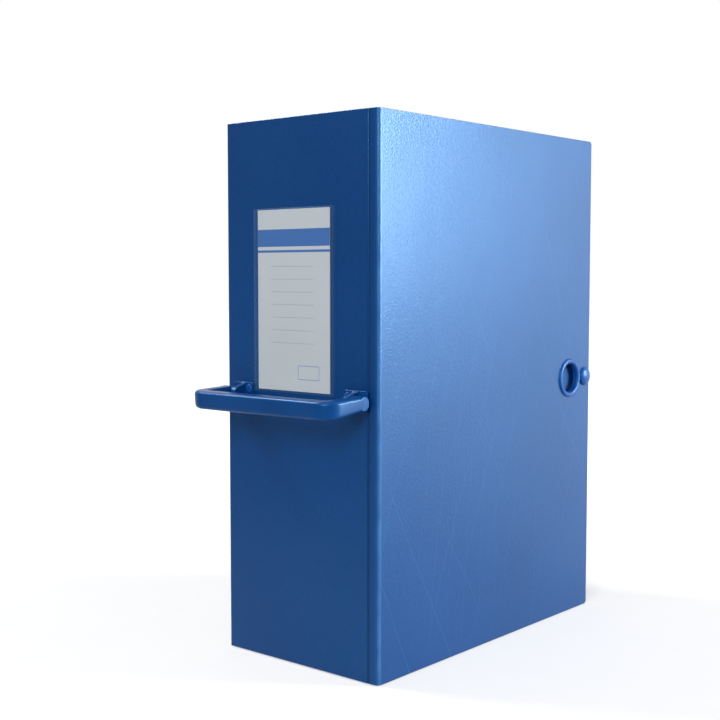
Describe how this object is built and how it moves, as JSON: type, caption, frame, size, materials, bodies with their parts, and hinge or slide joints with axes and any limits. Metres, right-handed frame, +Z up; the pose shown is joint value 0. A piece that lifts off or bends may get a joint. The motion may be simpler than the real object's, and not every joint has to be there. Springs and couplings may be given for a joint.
{
  "type": "archive storage box",
  "caption": "Upright archive box of folded blue board with a snap-shut wrap-round cover, finger ring, fold-down carrying handle and label pocket on its spine.",
  "frame": {"origin": "middle of the tail end's flat outer face, on the plane that the box stands on", "axes": "+Z up along the box's height, -Y out of the spine with the handle, +X out of the cover"},
  "size_m": [0.1332, 0.2901, 0.35],
  "materials": {
    "blue_board": "satin plastic-coated paper over board",
    "blue_plastic": "satin moulded plastic",
    "blue_enamel": "gloss lacquer",
    "nickel": "bright nickel plate",
    "label_paper": "matt printed card",
    "clear_film": "clear glossy plastic film"
  },
  "bodies": {
    "tray": {"tray_board": "blue_board", "upper_rim_rivet": "blue_enamel", "lower_rim_rivet": "blue_enamel", "upper_rim_rivet_back": "nickel", "lower_rim_rivet_back": "nickel", "snap_stud": "nickel", "snap_stud_rivet": "nickel"},
    "spine": {"spine_panel": "blue_board", "label_holder": "clear_film", "label_card": "label_paper", "left_handle_bracket": "blue_plastic", "right_handle_bracket": "blue_plastic", "left_bracket_lower_rivet": "blue_enamel", "left_bracket_lower_washer": "nickel", "left_bracket_upper_rivet": "blue_enamel", "left_bracket_upper_washer": "nickel", "right_bracket_lower_rivet": "blue_enamel", "right_bracket_lower_washer": "nickel", "right_bracket_upper_rivet": "blue_enamel", "right_bracket_upper_washer": "nickel"},
    "cover": {"cover_panel": "blue_board", "snap_cap": "blue_enamel", "snap_socket": "nickel", "finger_ring": "blue_enamel", "finger_ring_washer": "nickel"},
    "handle": {"handle": "blue_plastic"}
  },
  "joints": [
    {"name": "spine_hinge", "type": "hinge", "parent": "tray", "child": "spine", "pos_m": [-0.065, -0.125, 0.175], "axis": [0, 0, -1], "range_deg": [0, 90]},
    {"name": "cover_hinge", "type": "hinge", "parent": "spine", "child": "cover", "pos_m": [0.065, -0.1245, 0.175], "axis": [0, 0, -1], "range_deg": [0, 135]},
    {"name": "handle_fold", "type": "hinge", "parent": "spine", "child": "handle", "pos_m": [0, -0.1325, 0.1735], "axis": [1, 0, 0], "range_deg": [-86, 83]}
  ]
}
